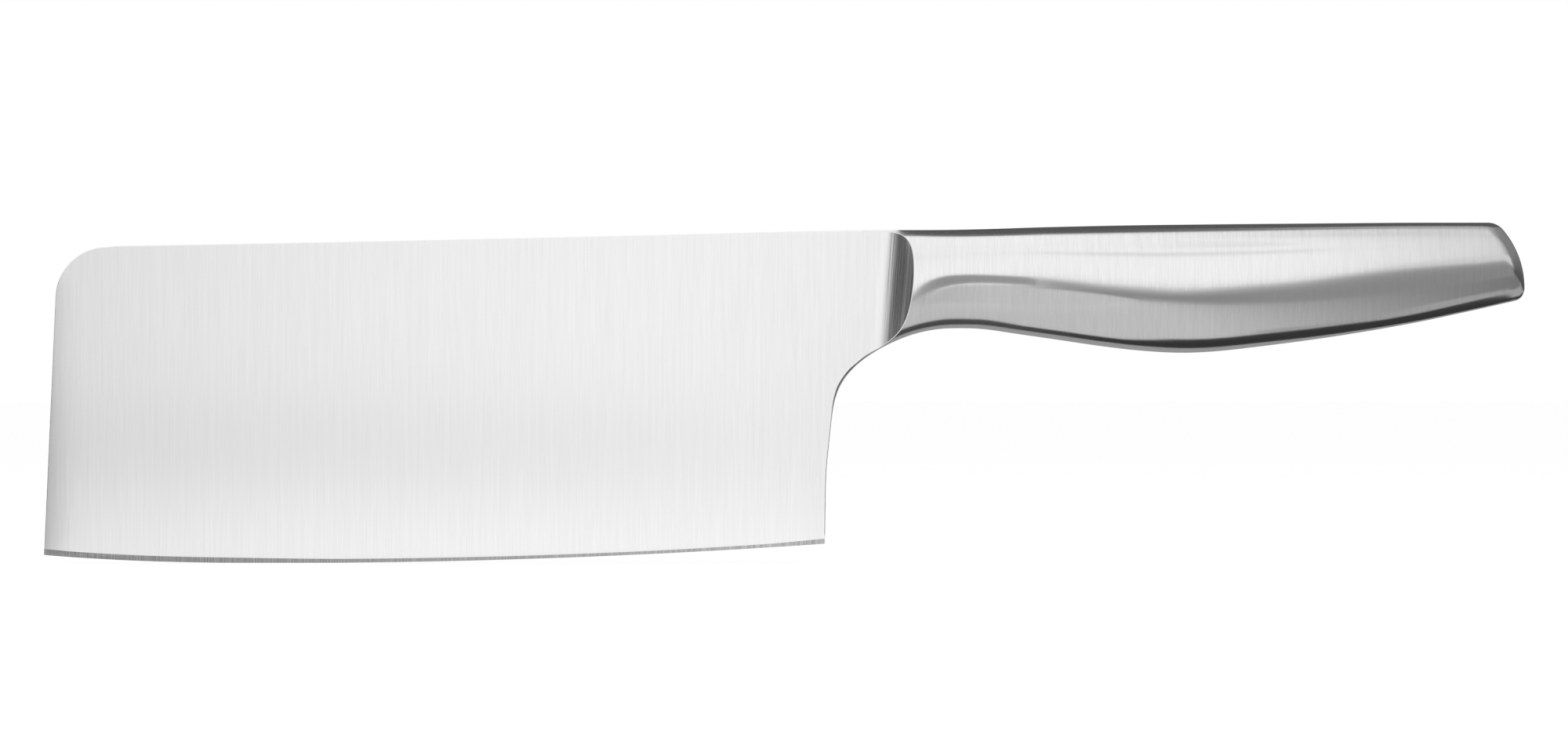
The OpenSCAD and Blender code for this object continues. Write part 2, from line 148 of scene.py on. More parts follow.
low_line = smooth_line(
    [(heel_x + neck_reach * u, mix(heel_rise, neck_h, v)) for u, v in choil_shares]
    + [(mix(neck_x, belly_x, u), mix(neck_h, belly_h, v)) for u, v in drop_shares]
    + [(mix(belly_x, butt_low_end[0], u), mix(belly_h, butt_low_end[1], v))
       for u, v in lift_shares])
spine_reach = rim_x - tip_x - tip_lean
top_line = smooth_line(
    [(tip_x + tip_lean + spine_reach * u,
      mix(spine_h - spine_fall, spine_h, u) - 4 * spine_bow * u * (1 - u)) for u in spine_shares]
    + [(rim_x + grip_l * u, mix(neck_top_h, grip_top_h, v)) for u, v in top_shares])


def low_z(x):
    return np.interp(x, low_line[:, 0], low_line[:, 1])


def top_z(x):
    return np.interp(x, top_line[:, 0], top_line[:, 1])


def mid_z(x):
    return (top_z(x) + low_z(x)) / 2


def half_h(x):
    return (top_z(x) - low_z(x)) / 2


def along_grip(rim, belly, butt, x):
    """Value at x that eases from the rim's to the belly's, and on to the butt's."""
    return np.where(np.asarray(x) < belly_x, mix(rim, belly, ease(rim_x, belly_x, x)),
                    mix(belly, butt, ease(belly_x, pole_x, x)))


def half_w(x):
    return along_grip(rim_w, belly_w, butt_w, x) / 2


def filled(x):
    """How far the section has filled out from the lean neck."""
    return ease(rim_x, mix(rim_x, belly_x, lean_share), x)


def top_square(x):
    """Squareness of the section's upper half."""
    return mix(neck_square, full_square, filled(x))


def low_square(x):
    """Squareness of the section's lower half."""
    return np.where(np.asarray(x) < belly_x, mix(neck_square, belly_square, filled(x)),
                    mix(belly_square, full_square, ease(belly_x, pole_x, x)))


def wedge_y(z):
    """Half thickness of the blade at a height."""
    return mix(edge_t, spine_t, np.asarray(z, float) / spine_h) / 2


# The grip's form

top_run = np.linspace(pole_x, butt_top_centre[0], top_run_count)[:-1]
low_run = np.linspace(butt_low_end[0], pole_x, low_run_count)[1:]
butt_arcs = np.vstack([
    arc(butt_top_centre, butt_top_r, 90, butt_turn, corner_steps),
    arc(butt_centre, butt_r, butt_turn, 0, back_steps)[1:],
    arc(butt_low_centre, butt_low_r, 0, butt_low_turn, corner_steps)[1:]])
butt_line = np.vstack([np.column_stack([top_run, top_z(top_run)]), butt_arcs,
                       np.column_stack([low_run, low_z(low_run)])])
pole = np.array([pole_x, float(mid_z(pole_x))])


def signed_power(a, power):
    return np.sign(a) * np.abs(a) ** power


def off_mid(x, z):
    """How far a place is above the middle line, as a share of the way to the outline."""
    return (z - mid_z(x)) / half_h(x)


def from_round(x, z):
    """1 inside the butt's rounding, 0 at the butt's back and under 0 behind it."""
    back_x = np.interp(z, butt_arcs[::-1, 1], butt_arcs[::-1, 0])
    near = np.maximum(1 - (back_x - x) / butt_top_r, 0)
    return 1 - near**butt_square


def butt_share(x, z):
    """Share of the half width that the butt's form has at a place."""
    n, k = full_square, butt_square
    section_share = np.clip(1 - np.abs(off_mid(x, z)) ** n, 0, None) ** (1 / n)
    return section_share * np.clip(from_round(x, z), 0, None) ** (1 / k)


def form_level(x, y, z):
    """Under 0 inside the grip's form, 0 on its surface and over 0 outside."""
    out = off_mid(x, z)
    n = np.where((out < 0) & (x < pole_x), low_square(x), top_square(x))
    rounding = np.where(x < pole_x, 1, signed_power(from_round(x, z), full_square / butt_square))
    return (np.abs(y) / half_w(x)) ** n - (1 - np.abs(out) ** n) * rounding


def form_normals(points):
    """Outward normals of the grip's form, so that pieces ground flush meet without a line. They
    are its slopes over small steps, shorter where the form turns faster."""
    x, y, z = np.moveaxis(points, -1, 0)
    step_x, step_z, step_y = np.where(x > pole_x, 0.1, 0.4), 0.1, 0.02
    slope = np.stack([
        (form_level(x + step_x, y, z) - form_level(x - step_x, y, z)) / step_x,
        (form_level(x, y + step_y, z) - form_level(x, y - step_y, z)) / step_y,
        (form_level(x, y, z + step_z) - form_level(x, y, z - step_z)) / step_z], -1)
    return slope / np.linalg.norm(slope, axis=-1, keepdims=True)


def section(x, turns, inset=0.0):
    """Right half of the section at x, at turns from the bottom (0) to the top (180 degrees)."""
    n = np.where(turns < math.pi / 2, low_square(x), top_square(x))
    out = np.abs(np.cos(turns)) ** (2 / n) * np.sign(np.cos(turns))
    y = np.abs(np.sin(turns)) ** (2 / n) * (half_w(x) - inset)
    y = np.where(np.sin(turns) < hair, 0, y)
    return np.stack([np.broadcast_to(x, y.shape), y, mid_z(x) - (half_h(x) - inset) * out], -1)


def back_square(way):
    """Squareness that spaces the points of a butt's rib, which is one for each direction."""
    return mix(full_square, back_spacing, (way[0] / np.hypot(*way)) ** back_turn)


def ribs_from(start_x, count):
    """Ribs of the grip: the outline's point, the middle line's, the half width, the squareness,
    and whether the rib is one of the butt's."""
    xs = np.linspace(start_x, pole_x, count)
    top = [((x, top_z(x)), (x, mid_z(x)), half_w(x), top_square(x), False) for x in xs]
    low = [((x, low_z(x)), (x, mid_z(x)), half_w(x), low_square(x), False) for x in xs[::-1]]
    back = [(p, pole, half_w(pole_x), back_square(p - pole), True) for p in butt_line[1:-1]]
    return [(np.array(tip, float), np.array(middle, float), float(w), float(n), in_butt)
            for tip, middle, w, n, in_butt in top + back + low]


# Columns of a shell's surface, the seam's half width and the halvings that find a place
rib_columns, seam_off, place_halvings = 28, seam_weld_w / 2, 40


def butt_place(middle, way, share):
    """Share of the reach of a butt's rib where the form has a share of the half width."""
    low, high = 0.0, 1.0
    for _ in range(place_halvings):
        half = (low + high) / 2
        wider = butt_share(*(middle + half * way)) > share
        low, high = (half, high) if wider else (low, half)
    return half


def rib_rows(ribs, inset):
    """Points of each rib on the right side, from the seam's wall to the middle line."""
    rows = []
    for tip, middle, w, n, in_butt in ribs:
        way, w = tip - middle, w - inset
        reach = np.hypot(*way)
        turns = np.linspace(math.asin((seam_off / w) ** (n / 2)), math.pi / 2, rib_columns + 1)
        out = np.cos(turns) ** (2 / n)
        out[-1] = 0
        y = w * np.sin(turns) ** (2 / n)
        if in_butt:
            out[0] = butt_place(middle, way, seam_off / w)
            y = w * butt_share(*(middle + out[:, None] * way).T)
            y[0] = seam_off
        flat = middle + out[:, None] * way * (reach - inset) / reach
        rows.append(np.column_stack([flat[:, 0], y, flat[:, 1]]))
    return np.array(rows)


# Meshes

# Points that share a cell of a grid this fine become one. The grid is set off from round sizes.
cell, cell_offset = 1e-4, 0.31


def mirrored(points):
    """The same grid or ring on the other side of the blade's plane, wound the right way again."""
    return points[::-1] * np.array([1, -1, 1])


def whole_ring(right):
    """Closed ring from its right half."""
    return np.vstack([right, mirrored(right)[1:-1]])


def both_sides(grid, normals=None, finish=0):
    return [(grid, normals, finish),
            (mirrored(grid), None if normals is None else mirrored(normals), finish)]


def make_piece(name, grids, caps=()):
    """Closed mesh from grids of points and flat caps, wound outwards. A grid comes with its
    normals, or None where its faces are flat, and the number of its finish. Points that meet
    become one."""
    points, faces, corner_normals, finishes = [], [], [], []
    count = 0
    for grid, normals, finish in grids:
        rows, columns = grid.shape[:2]
        index = np.arange(rows * columns).reshape(rows, columns)
        quads = np.stack([index[:-1, :-1], index[1:, :-1], index[1:, 1:], index[:-1, 1:]], -1)
        quads = quads.reshape(-1, 4)
        points.append(grid.reshape(-1, 3))
        faces += (quads + count).tolist()
        corner_normals += [None] * len(quads) if normals is None else list(
            normals.reshape(-1, 3)[quads])
        finishes += [finish] * len(quads)
        count += rows * columns
    for cap in caps:
        points.append(np.asarray(cap, float))
        faces.append(list(range(count, count + len(cap))))
        corner_normals.append(None)
        finishes.append(0)
        count += len(cap)
    points = np.vstack(points)
    _, first, number = np.unique(np.round(points / cell + cell_offset).astype(np.int64), axis=0,
                                 return_index=True, return_inverse=True)
    number = number.ravel()
    shown_faces, shown_normals, shown_finishes = [], [], []
    for face, normals, finish in zip(faces, corner_normals, finishes):
        kept = [k for k in range(len(face)) if number[face[k]] != number[face[k - 1]]]
        if len({number[face[k]] for k in kept}) < 3:
            continue
        shown_faces.append([int(number[face[k]]) for k in kept])
        shown_normals.append(None if normals is None else normals[kept])
        shown_finishes.append(finish)
    mesh = bpy.data.meshes.new(name)
    mesh.from_pydata((points[first] * MM).tolist(), [], shown_faces)
    mesh.update()
    mesh.polygons.foreach_set("material_index", shown_finishes)
    mesh.shade_smooth()
    mesh.normals_split_custom_set([
        tuple(n) for polygon, normals in zip(mesh.polygons, shown_normals)
        for n in ([polygon.normal] * polygon.loop_total if normals is None else normals)])
    made = bpy.data.objects.new(name, mesh)
    bpy.context.scene.collection.objects.link(made)
    return made


# Blade

# Loops of the blade's rim, from the blade's plane out to its side face, as shares of its thickness
rim_loops = np.array([0, 0.3, 0.55, 0.75, 0.88, 1])
# The sharpened bevel, wide at the tip and the heel: places along the edge and heights
bevel_line = [(0, 1.33), (6, 1.2), (40, 1.15), (62, 0.83), (100, 0.72), (130, 0.67), (155, 0.77),
              (edge_l, 1.1)]
# How far the rounding reaches in from the outline, and how square it is
crisp_reach, crisp_square = 0.2, 6
choil_reach, choil_full_reach, choil_from_z, choil_to_z = 0.15, 0.5, 30, 38
# The choil's rounding goes on over the weld and dies out in the hollow
choil_end_reach, choil_end_x = 0.1, 23
# Where the spine's rounding starts to grow into the form's, and how near the weld the choil's turns
spine_ease_x, choil_turn_l = -10, 2.5
# Nothing but the bevel lies within this height of the edge's two corners
corner_clear = 2.2
# Places along the edge, the spine, the tip's corner, the tip and the weld
edge_count, spine_count, tip_arc_count, tip_count, weld_count = 111, 90, 32, 12, 4


def round_loops(place, inward, reach, square):
    """Loops of a rounded rim at one place of the outline, and their outward normals."""
    z_full = place[1] + inward[1] * reach
    depth = reach * rim_loops**square
    y = wedge_y(z_full) * rim_loops
    points = np.column_stack([place[0] + inward[0] * depth, y, place[1] + inward[1] * depth])
    points[-1, 1] = wedge_y(points[-1, 2])
    slope = reach * square * rim_loops ** (square - 1) / wedge_y(z_full)
    normals = np.column_stack([-inward[0] + 0 * y, slope, -inward[1] + 0 * y])
    return points, normals / np.linalg.norm(normals, axis=1, keepdims=True)


def bevel_loops(place, upward, height):
    """Loops of the sharpened edge at one place: the land, then the bevel's slope."""
    share = np.array([0, 0, 0.25, 0.5, 0.75, 1])
    z = place[1] + upward[1] * height * share
    y = mix(edge_land / 2, wedge_y(z[-1]), share)
    y[0] = 0
    points = np.column_stack([place[0] + upward[0] * height * share, y, z])
    slope = np.array([0, height, -(y[-1] - edge_land / 2)])
    return points, slope / np.linalg.norm(slope)


def form_reach(x, z):
    """How far in from the outline the grip's form is as wide as the blade."""
    share = wedge_y(z) / half_w(x)
    return float(half_h(x) * (1 - (1 - share**neck_square) ** (1 / neck_square)))


def inward_of(line):
    """Inward directions along an outline that runs with the blade on its left."""
    way = np.gradient(line, axis=0)
    way /= np.linalg.norm(way, axis=1, keepdims=True)
    return np.column_stack([-way[:, 1], way[:, 0]])


edge_xs = np.linspace(tip_x, heel_x, edge_count)
edge_places = np.column_stack([edge_xs, edge_z(edge_xs)])
bevel_hs = np.interp(edge_xs - tip_x, *zip(*bevel_line))

lean = math.atan(tip_lean / (spine_h - spine_fall))
corner_top = (tip_x + tip_lean, float(top_z(tip_x + tip_lean)))
corner_centre = (corner_top[0] + tip_corner_r * (1 / math.cos(lean) - math.tan(lean)),
                 corner_top[1] - tip_corner_r)
tip_arc = arc(corner_centre, tip_corner_r, 90, 180 - math.degrees(lean), tip_arc_count)
tip_end = edge_places[0] + np.array([math.sin(lean), math.cos(lean)]) * corner_clear
tip_run = np.linspace(tip_arc[-1], tip_end, tip_count)[1:]
spine_xs = np.linspace(weld_front, corner_centre[0], spine_count)[:-1]
spine_side = np.vstack([np.column_stack([spine_xs, top_z(spine_xs)]), tip_arc, tip_run])
in_choil = (low_line[:, 0] < weld_front) & (low_line[:, 1] > heel_rise + corner_clear)
choil_side = np.vstack([low_line[in_choil], [[weld_front, float(low_z(weld_front))]]])


def spine_loops():
    """Loops from the weld along the spine, round the tip's corner and down to the edge."""
    columns = []
    for place, inward in zip(spine_side, inward_of(spine_side)):
        share = float(ease(spine_ease_x, weld_front, place[0]))
        if place[0] == weld_front:
            inward = np.array([0, -1.0])
        reach = mix(crisp_reach, form_reach(weld_front, spine_h), share)
        columns.append(round_loops(place, inward, reach, mix(crisp_square, neck_square, share)))
    return columns


def choil_loops():
    """Loops from just above the heel's corner to the weld."""
    columns = []
    for place, inward in zip(choil_side, inward_of(choil_side)):
        share = float(ease(choil_from_z, choil_to_z, place[1]))
        near = float(ease(weld_front - choil_turn_l, weld_front, place[0]))
        inward = mix(inward, np.array([0, 1.0]), near)
        inward = inward / np.linalg.norm(inward)
        columns.append(round_loops(place, inward, mix(choil_reach, choil_full_reach, share),
                                   mix(crisp_square, neck_square, share)))
    return columns


def blade_grids():
    """The blade's rim as grids, right side first, and its outline where the side face starts."""
    tip_up = np.array([math.sin(lean), math.cos(lean)])
    choil_up = choil_side[0] - edge_places[-1]
    ups = [tip_up] + [np.array([0, 1.0])] * (len(edge_places) - 2) + [
        choil_up / np.linalg.norm(choil_up)]
    edge = [bevel_loops(*column) for column in zip(edge_places, ups, bevel_hs)]
    edge_points = np.array([points for points, _ in edge])
    edge_normals = np.repeat(np.array([slope for _, slope in edge])[:, None], len(rim_loops), 1)
    land_normals = np.broadcast_to([0.0, 0, -1], edge_points[:, :2].shape)
    grids = both_sides(edge_points[::-1, :2], land_normals, 1)
    grids += both_sides(edge_points[::-1, 1:], edge_normals[::-1, 1:], 1)
    rims = [edge_points]
    # The end of the bevel is part of the heel's face, and of the tip's
    end_shape = (1, len(rim_loops), 3)
    heel_end = np.broadcast_to(
        [choil_up[1], 0, -choil_up[0]] / np.linalg.norm(choil_up), end_shape)
    tip_end_face = np.broadcast_to([-math.cos(lean), 0, math.sin(lean)], end_shape)
    for columns, first, last in ((choil_loops(), (edge_points[-1:], heel_end), None),
                                 (spine_loops(), None, (edge_points[:1], tip_end_face))):
        points = np.array([p for p, _ in columns])
        normals = np.array([n for _, n in columns])
        if first:
            points, normals = np.vstack([first[0], points]), np.vstack([first[1], normals])
        if last:
            points, normals = np.vstack([points, last[0]]), np.vstack([normals, last[1]])
        grids += both_sides(points[::-1], normals[::-1])
        rims.append(points)
    choil, spine = rims[1], rims[2]
    grids += both_sides(np.array([spine[0], choil[-1]]))
    side = np.vstack([edge_points[:-1, -1], choil[:-1, -1], choil[-1:, -1], spine[:-1, -1]])
    return grids, side


rim_grids, side_ring = blade_grids()
blade = make_piece("ground_blade", rim_grids, [side_ring[::-1], side_ring * [1, -1, 1]])

# Weld between blade and bolster, ground flush: its rounding is the form's own


def weld_rows(xs, line, inward, reaches):
    columns = [round_loops((x, float(line(x))), (0.0, inward), reach, neck_square)
               for x, reach in zip(xs, reaches)]
    return np.array([p for p, _ in columns]), np.array([n for _, n in columns])


weld_xs = np.linspace(weld_front, weld_back, weld_count)
weld_low, weld_low_normals = weld_rows(weld_xs, low_z, 1.0, [choil_full_reach] * len(weld_xs))
weld_top, weld_top_normals = weld_rows(
    weld_xs[::-1], top_z, -1.0, [form_reach(x, top_z(x)) for x in weld_xs[::-1]])
weld_side = np.vstack([weld_low[:, -1], weld_top[:, -1]])


def weld_end(low, top):
    return whole_ring(np.vstack([low, top[::-1]]))


blade_weld = make_piece(
    "ground_blade_weld",
    both_sides(weld_low[::-1], weld_low_normals[::-1])
    + both_sides(weld_top[::-1], weld_top_normals[::-1]),
    [weld_side[::-1], weld_side * [1, -1, 1],
     weld_end(weld_low[0], weld_top[-1])[::-1], weld_end(weld_low[-1], weld_top[0])])

# Bolster

rim_mid = float(mid_z(rim_x))
hollow_depth = rim_w / 2 - float(wedge_y(rim_mid))
hollow_start = rim_x - math.sqrt(hollow_r**2 - (hollow_r - hollow_depth) ** 2)
# Breadth of the soft corner that brushing leaves on the hollow's rim, and how far before the rim's
# middle it has grown to that. It takes no more than this share of a ray.
rim_soft, rim_soft_from, most_soft_share = 0.13, 4, 0.4
# Past its middle the hollow's circle is carried on this steeply
beyond_slope = 100
# Rays over the bolster's side, the halvings that find the rim on them, and the columns of the
# ground part and of the form behind it, which crowd towards the rim by these powers
ray_count, rim_halvings = 241, 50
ground_columns, ground_crowding, form_columns, form_crowding = 41, 1.6, 19, 1.3


def ground_y(x, z):
    """The blade's plane, and the round hollow that rises out of it behind the weld."""
    across = (x - hollow_start) * math.cos(hollow_lean) - (z - rim_mid) * math.sin(hollow_lean)
    across = np.clip(across, 0, None)
    rise = hollow_r - np.sqrt(np.clip(hollow_r**2 - across**2, 0, None))
    beyond = np.clip(across - hollow_r, 0, None) * beyond_slope
    reach = mix(choil_full_reach, choil_end_reach, ease(weld_back, choil_end_x, x))
    rounded = np.clip((z - low_z(x)) / reach, 0, 1) ** (1 / neck_square)
    return (wedge_y(z) + rise) * rounded + beyond


def ground_normals(points):
    x, _, z = np.moveaxis(points, -1, 0)
    step = 0.02
    slope = np.stack([-(ground_y(x + step, z) - ground_y(x - step, z)) / (2 * step),
                      np.ones_like(x),
                      -(ground_y(x, z + step) - ground_y(x, z - step)) / (2 * step)], -1)
    return slope / np.linalg.norm(slope, axis=-1, keepdims=True)


# Rays fan out over the right side from the middle of the weld's back face. Each crosses the rim
# of the ground part once, and ends at the bolster's outline or at its collar's back.
ray_turns = np.radians(np.linspace(-90, 90, ray_count))
ray_ends = np.minimum(1 / np.maximum(np.cos(ray_turns), hair),
                      1 / np.maximum(np.abs(np.sin(ray_turns)), hair))


def on_ray(reach):
    """Point of the grip's form where each ray has come this far."""
    x = mix(weld_back, collar_x, np.clip(reach * np.cos(ray_turns), 0, 1))
    turn = (1 + np.clip(reach * np.sin(ray_turns), -1, 1)) * math.pi / 2
    return section(x, turn)


inside, outside = np.zeros_like(ray_ends), ray_ends.copy()
for _ in range(rim_halvings):
    halfway = (inside + outside) / 2
    p = on_ray(halfway)
    ground = p[:, 1] > ground_y(p[:, 0], p[:, 2])
    inside, outside = np.where(ground, halfway, inside), np.where(ground, outside, halfway)
rim_reach_on_ray = (inside + outside) / 2
rim_points = on_ray(rim_reach_on_ray)
rim_points[:, 1] = ground_y(rim_points[:, 0], rim_points[:, 2])
weld_line = np.column_stack([
    np.full(len(ray_turns), weld_back),
    np.linspace(rim_points[0, 2], rim_points[-1, 2], len(ray_turns))])


def on_ground(share):
    """Ground point of each ray, this share of the way from the weld to the rim."""
    flat = mix(weld_line, rim_points[:, [0, 2]], np.asarray(share)[:, None])
    return np.stack([flat[:, 0], ground_y(flat[:, 0], flat[:, 1]), flat[:, 1]], -1)


def on_form(share):
    """Form point of each ray, this share of the way from the rim to its end."""
    return on_ray(mix(rim_reach_on_ray, ray_ends, np.asarray(share)))


def soft_share(points_at, start, step):
    """Share of each ray at which it is the soft corner's breadth from the rim."""
    along = np.gradient(rim_points, axis=0)
    along /= np.linalg.norm(along, axis=1, keepdims=True)
    way = (points_at(np.full(len(ray_turns), start + step)) - rim_points) / step
    across = np.linalg.norm(way - (way * along).sum(1, keepdims=True) * along, axis=1)
    breadth = rim_soft * ease(weld_back, rim_x - rim_soft_from, rim_points[:, 0])
    return np.minimum(breadth / np.maximum(across, hair), most_soft_share)


ones = np.ones(len(ray_turns))
ground_share = 1 - soft_share(on_ground, 1, -0.01)
form_share = soft_share(on_form, 0, 0.01)
ground_steps = 1 - (1 - np.linspace(0, 1, ground_columns)) ** ground_crowding
form_steps = np.linspace(0, 1, form_columns) ** form_crowding
ground_grid = np.stack([on_ground(ground_share * s) for s in ground_steps], 1)
form_grid = np.stack([on_form(mix(form_share, ones, s)) for s in form_steps], 1)
ground_edge, form_edge = ground_grid[:, -1], form_grid[:, 0]
soft_middle = ground_edge / 4 + rim_points / 2 + form_edge / 4
soft_grid = np.stack([ground_edge, soft_middle, form_edge], 1)
ground_edge_normals, form_edge_normals = ground_normals(ground_edge), form_normals(form_edge)
middle_normals = ground_edge_normals + form_edge_normals
middle_normals /= np.linalg.norm(middle_normals, axis=1, keepdims=True)
soft_normals = np.stack([ground_edge_normals, middle_normals, form_edge_normals], 1)

collar_turns = (1 + np.tan(ray_turns[np.abs(ray_turns) <= math.pi / 4 + hair])) * math.pi / 2
collar_turns[0], collar_turns[-1] = 0, math.pi
collar_outer = form_grid[np.abs(ray_turns) <= math.pi / 4 + hair, -1]
spigot_inset = shell_wall + spigot_gap
spigot_rows = np.stack([section(x, collar_turns, spigot_inset)
                        for x in (collar_x, shell_x, spigot_x)], 1)
front_right = np.vstack([form_grid[0, ::-1], soft_grid[0, 1:2], weld_line[:, [0, 0, 1]],
                         soft_grid[-1, 1:2], form_grid[-1]])
front_right[len(form_grid[0]) + 1:-len(form_grid[0]) - 1, 1] = ground_y(*weld_line.T)
front_ring, spigot_end = whole_ring(front_right), whole_ring(spigot_rows[:, -1])

# The tang is a plate with two round holes: each stretch of it runs from a rectangle in to a circle
tang_mid = float(mid_z(spigot_x))
side_steps = 8


def rectangle(x0, x1):
    """Points round a stretch of the tang, side_steps to a side, from its lower front corner."""
    low, high = tang_mid - tang_h / 2, tang_mid + tang_h / 2
    corners = [(x0, low), (x1, low), (x1, high), (x0, high), (x0, low)]
    return np.vstack([np.linspace(corners[k], corners[k + 1], side_steps, endpoint=False)
                      for k in range(4)] + [[corners[4]]])


def at_side(flat, side=1):
    return np.stack([flat[..., 0], np.full(flat.shape[:-1], side * tang_t / 2), flat[..., 1]], -1)


key_xs = [spigot_x + tang_l - tang_h / 2 - key_pitch, spigot_x + tang_l - tang_h / 2]
tang_stretches = [(key_xs[0] - key_pitch / 2, key_xs[0] + key_pitch / 2),
                  (key_xs[0] + key_pitch / 2, spigot_x + tang_l)]
tang_grids = []
for key_x, (x0, x1) in zip(key_xs, tang_stretches):
    outer = rectangle(x0, x1)
    hole = arc((key_x, tang_mid), key_d / 2, -135, 225, 4 * side_steps)
    tang_grids += both_sides(np.stack([at_side(hole), at_side(outer)], 1))
    tang_grids.append((np.stack([at_side(hole, -1), at_side(hole)], 1), None, 0))
# The tang starts inside the spigot
tang_root = 1
tang_front = spigot_x - tang_root
levels = np.linspace(tang_mid - tang_h / 2, tang_mid + tang_h / 2, side_steps + 1)
front_stretch = np.array([[(tang_front, z), (tang_stretches[0][0], z)] for z in levels])
tang_grids += both_sides(at_side(front_stretch))
tang_ring = np.vstack([[(tang_front, levels[0])], *[rectangle(*s)[:side_steps + 1]
                                                    for s in tang_stretches]])
tang_top = tang_ring[::-1] * [1, 0] + [0, levels[-1]]
for run in (tang_ring, np.column_stack([np.full(side_steps + 1, spigot_x + tang_l), levels]),
            tang_top, np.column_stack([np.full(side_steps + 1, tang_front), levels[::-1]])):
    tang_grids.append((np.stack([at_side(run, -1), at_side(run)], 1)[::-1], None, 0))

bolster = make_piece(
    "hollow_ground_bolster",
    both_sides(ground_grid, ground_normals(ground_grid))
    + both_sides(soft_grid, soft_normals, 1)
    + both_sides(form_grid, form_normals(form_grid), 1)
    + both_sides(np.stack([collar_outer, spigot_rows[:, 0]], 1))
    + both_sides(spigot_rows)
    + tang_grids,
    [front_ring[::-1], spigot_end])

# Welds and shells of the grip

ring_rows, ring_columns, grip_rib_count = 73, 4, 100
ring_turns = np.linspace(0, math.pi, ring_rows)
ring_xs = np.linspace(collar_x, shell_x, ring_columns)
ring_outer = np.stack([section(x, ring_turns) for x in ring_xs], 1)
ring_inner = np.stack([section(x, ring_turns, spigot_inset) for x in ring_xs], 1)
ring_weld = make_piece(
    "ground_ring_weld",
    both_sides(ring_outer, form_normals(ring_outer))
    + both_sides(ring_inner[::-1])
    + both_sides(np.stack([ring_inner[:, 0], ring_outer[:, 0]], 1))
    + both_sides(np.stack([ring_outer[:, -1], ring_inner[:, -1]], 1)))

grip_ribs = ribs_from(shell_x, grip_rib_count)
shell_outer = rib_rows(grip_ribs, 0)
shell_inner = rib_rows(grip_ribs, shell_wall)
shell_grids = [
    (shell_outer, form_normals(shell_outer), 0),
    (shell_inner[::-1], None, 0),
    (np.stack([shell_inner[:, 0], shell_outer[:, 0]], 1), None, 0),
    (np.stack([shell_outer[0], shell_inner[0]], 1), None, 0),
    (np.stack([shell_inner[-1], shell_outer[-1]], 1), None, 0)]
right_shell = make_piece("right_brushed_shell", shell_grids)
left_shell = make_piece("left_brushed_shell", [both_sides(*grid)[1] for grid in shell_grids])

outline = np.array([[rib[0][0], 0, rib[0][1]] for rib in grip_ribs])
seam_right, seam_right_in = shell_outer[:, 0], shell_inner[:, 0]
seam_left, seam_left_in = seam_right * [1, -1, 1], seam_right_in * [1, -1, 1]
seam_outer = np.stack([seam_left, outline, seam_right], 1)
seam_section = np.stack([seam_left, outline, seam_right, seam_right_in, seam_left_in], 1)
seam_weld = make_piece(
    "ground_seam_weld",
    [(seam_outer, form_normals(seam_outer), 0),
     (np.stack([seam_right_in, seam_left_in], 1), None, 0),
     (np.stack([seam_right, seam_right_in], 1), None, 0),
     (np.stack([seam_left_in, seam_left], 1), None, 0)],
    [seam_section[0], seam_section[-1][::-1]])

# Materials


def linear(colour):
    """sRGB hex as linear RGBA."""
    parts = [int(colour[k:k + 2], 16) / 255 for k in (1, 3, 5)]
    return tuple(c / 12.92 if c <= 0.04045 else ((c + 0.055) / 1.055) ** 2.4 for c in parts) + (1,)


def add(tree, kind, sockets=None, **settings):
    """Adds a node. settings are its own properties, sockets the values or links of its inputs."""
    node = tree.nodes.new("ShaderNode" + kind)
    for key, value in settings.items():
        setattr(node, key, value)
    for key, value in (sockets or {}).items():
        if isinstance(value, bpy.types.NodeSocket):
            tree.links.new(value, node.inputs[key])
        else:
            node.inputs[key].default_value = value
    return node


def material(name):
    """Empty material, its node tree and its output."""
    made = bpy.data.materials.new(name)
    made.use_nodes = True
    made.node_tree.nodes.clear()
    return made, made.node_tree, add(made.node_tree, "OutputMaterial")


def place_on(tree):
    """A place on the piece, in metres."""
    return add(tree, "TexCoord").outputs["Object"]


# The streaks' breadth and length beside the fine lines', and their share of the whole
streak_wider, streak_longer, streak_share = 4, 3, 0.4
# The noise between these levels goes from the scratches' floor to the polish between them
scratch_floor, scratch_top = 0.38, 0.62


def scratches(tree, across, along, lean_turn):
    """Upright scratches: fine lines and broad streaks of them. across and along are the spacing
    and the length of the fine ones, in metres."""
    turned = add(tree, "Mapping", {
        "Vector": place_on(tree), "Rotation": (0, -lean_turn, 0)})
    found = []
    for wider, longer in ((1, 1), (streak_wider, streak_longer)):
        drawn = add(tree, "VectorMath", {
            0: turned.outputs[0],
            1: (1 / (across * wider), 1 / (along * longer), 1 / (along * longer))},
            operation="MULTIPLY")
        found.append(add(tree, "TexNoise", {
            "Vector": drawn.outputs[0], "Scale": 1.0, "Detail": 2.0, "Roughness": 0.6}))
    return add(tree, "Mix", {
        "Factor": streak_share, "A": found[0].outputs[0], "B": found[1].outputs[0]}).outputs[0]


def mapped(tree, value, low, high, to_low, to_high):
    return add(tree, "MapRange", {
        "Value": value, "From Min": low, "From Max": high,
        "To Min": to_low, "To Max": to_high}).outputs[0]


def blended(tree, share, a, b):
    """a turning to b, both colours, by a share."""
    return add(tree, "Mix", {"Factor": share, 6: a, 7: b}, data_type="RGBA").outputs[2]


